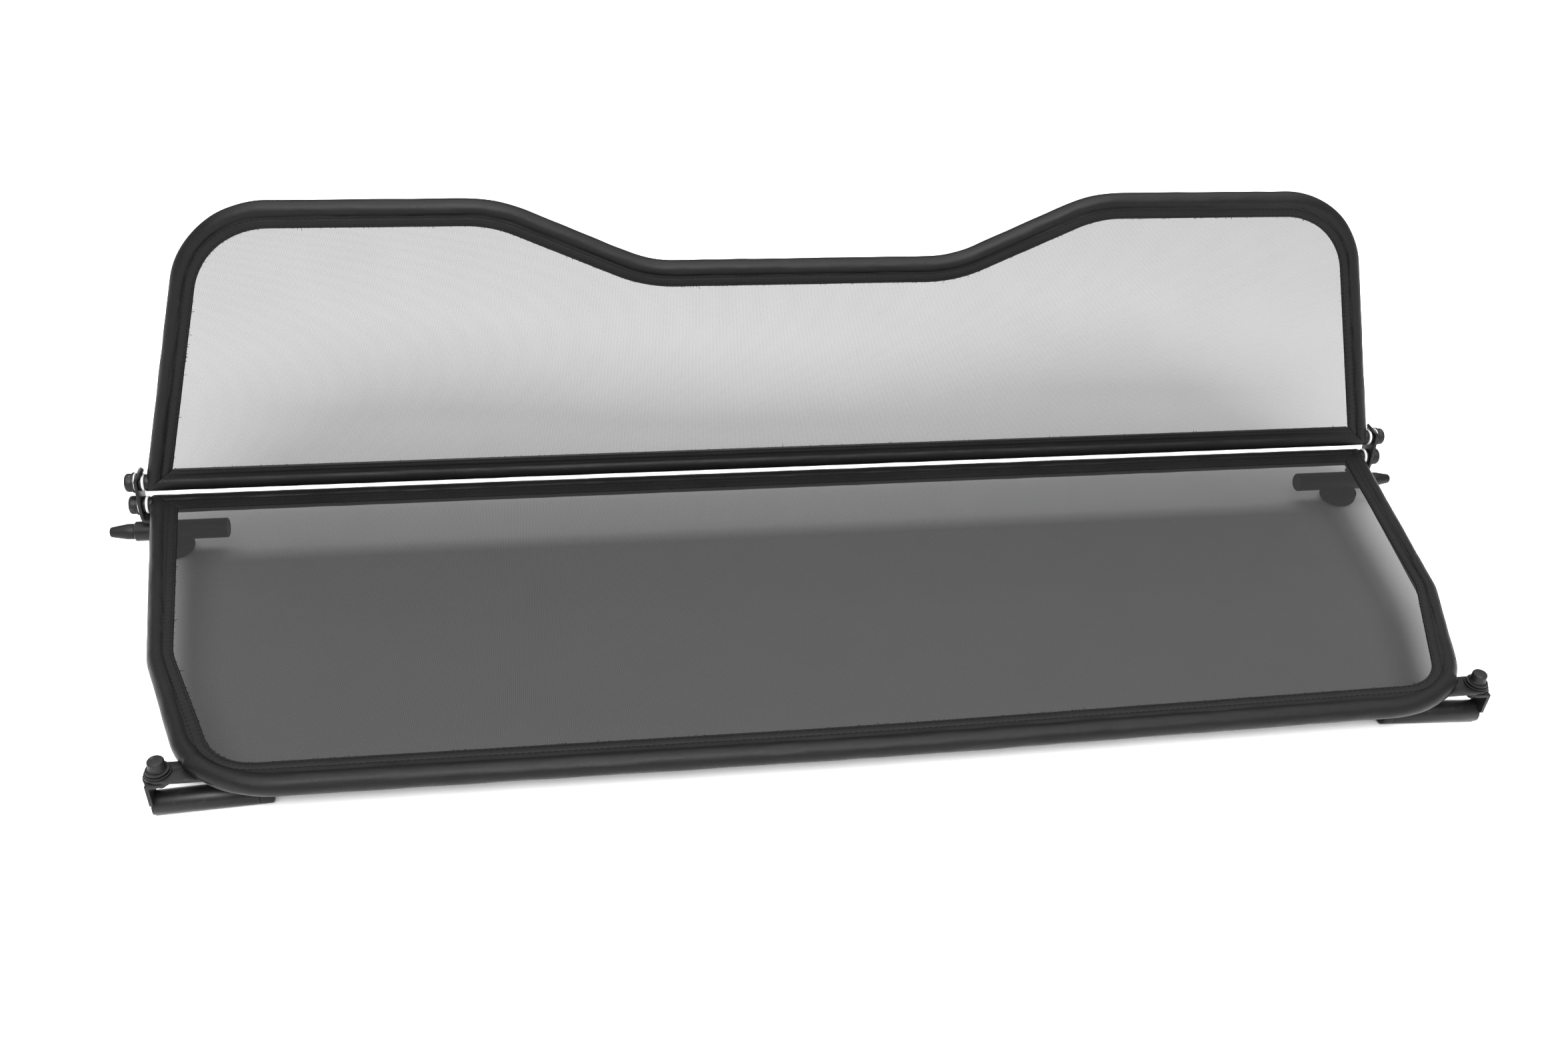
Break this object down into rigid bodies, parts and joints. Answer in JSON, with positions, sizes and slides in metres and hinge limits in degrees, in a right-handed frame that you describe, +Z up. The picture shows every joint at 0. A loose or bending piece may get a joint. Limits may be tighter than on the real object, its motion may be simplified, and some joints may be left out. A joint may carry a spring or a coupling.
{
  "type": "wind deflector",
  "caption": "Folding mesh wind deflector: flat lower screen, hinged upper screen with a dipped top edge, sprung side pins and swing-out front arms.",
  "frame": {"origin": "on the floor, under the middle of the footprint", "axes": "+X to the right along the hinge, -Y towards the front arms, +Z up from the floor"},
  "size_m": [1.233, 0.4138, 0.3151],
  "materials": {
    "black_steel": "satin black powder coat",
    "leatherette": "fine-grained satin black leatherette, sewn",
    "mesh": "fine black knitted polyester mesh, half see-through",
    "plastic": "moulded black nylon",
    "nylon": "natural white nylon",
    "rubber": "matte black rubber",
    "zinc": "bright zinc plate",
    "tube_steel": "black primed steel"
  },
  "bodies": {
    "lower_screen": {"lower_rear_bar": "tube_steel", "lower_bow_tube": "tube_steel", "lower_cover": "leatherette", "lower_rear_cover": "leatherette", "lower_mesh": "mesh", "lower_end_plugs": "plastic", "lower_pivot_bolts": "black_steel", "lower_steel_washers": "black_steel", "lower_nylon_washers": "nylon", "lower_spacers": "plastic", "front_tabs": "black_steel", "arm_pivot_bolts": "black_steel", "arm_bolt_caps": "rubber", "arm_top_washers": "black_steel", "arm_spring_washers": "black_steel", "arm_bottom_washers": "rubber", "arm_nuts": "black_steel"},
    "upper_screen": {"upper_bottom_bar": "tube_steel", "upper_bow_tube": "tube_steel", "upper_cover": "leatherette", "upper_bottom_cover": "leatherette", "upper_mesh": "mesh", "upper_end_plugs": "plastic", "upper_pivot_bolts": "black_steel", "upper_steel_washers": "black_steel", "upper_nylon_washers": "nylon", "upper_spacers": "plastic"},
    "left_hinge": {"left_hinge_bracket": "black_steel", "left_barrel": "black_steel", "left_barrel_plug": "plastic", "left_spring": "zinc"},
    "left_pin": {"left_lock_pin": "plastic", "left_knob": "plastic", "left_knob_stud": "zinc"},
    "left_arm": {"left_arm_bracket": "black_steel", "left_arm_tube": "black_steel", "left_arm_plugs": "plastic"},
    "right_hinge": {"right_hinge_bracket": "black_steel", "right_barrel": "black_steel", "right_barrel_plug": "plastic", "right_spring": "zinc"},
    "right_pin": {"right_lock_pin": "plastic", "right_knob": "plastic", "right_knob_stud": "zinc"},
    "right_arm": {"right_arm_bracket": "black_steel", "right_arm_tube": "black_steel", "right_arm_plugs": "plastic"}
  },
  "joints": [
    {"name": "hinge_tilt_left", "type": "hinge", "parent": "lower_screen", "child": "left_hinge", "pos_m": [-0.584, 0.1598, 0.05101], "axis": [1, 0, 0], "range_deg": [-10, 0]},
    {"name": "hinge_tilt_right", "type": "hinge", "parent": "lower_screen", "child": "right_hinge", "pos_m": [0.584, 0.1598, 0.05101], "axis": [1, 0, 0], "range_deg": [-10, 0]},
    {"name": "screen_fold", "type": "hinge", "parent": "left_hinge", "child": "upper_screen", "pos_m": [-0.584, 0.16205, 0.0726], "axis": [1, 0, 0], "range_deg": [-10, 100.8]},
    {"name": "left_pin_slide", "type": "slide", "parent": "left_hinge", "child": "left_pin", "axis": [1, 0, 0], "range_m": [0, 0.02], "stiffness_N_per_m": 150, "springref_m": -0.02, "deforming": ["left_spring"]},
    {"name": "right_pin_slide", "type": "slide", "parent": "right_hinge", "child": "right_pin", "axis": [-1, 0, 0], "range_m": [0, 0.02], "stiffness_N_per_m": 150, "springref_m": -0.02, "deforming": ["right_spring"]},
    {"name": "left_arm_swing", "type": "hinge", "parent": "lower_screen", "child": "left_arm", "pos_m": [-0.507, -0.17365, 0.02935], "axis": [0, 0.0349, -0.9994], "range_deg": [0, 180]},
    {"name": "right_arm_swing", "type": "hinge", "parent": "lower_screen", "child": "right_arm", "pos_m": [0.507, -0.17365, 0.02935], "axis": [0, -0.0349, 0.9994], "range_deg": [0, 180]}
  ],
  "couplings": [
    {"joint": "hinge_tilt_right", "follows": "hinge_tilt_left", "ratio": 1}
  ]
}
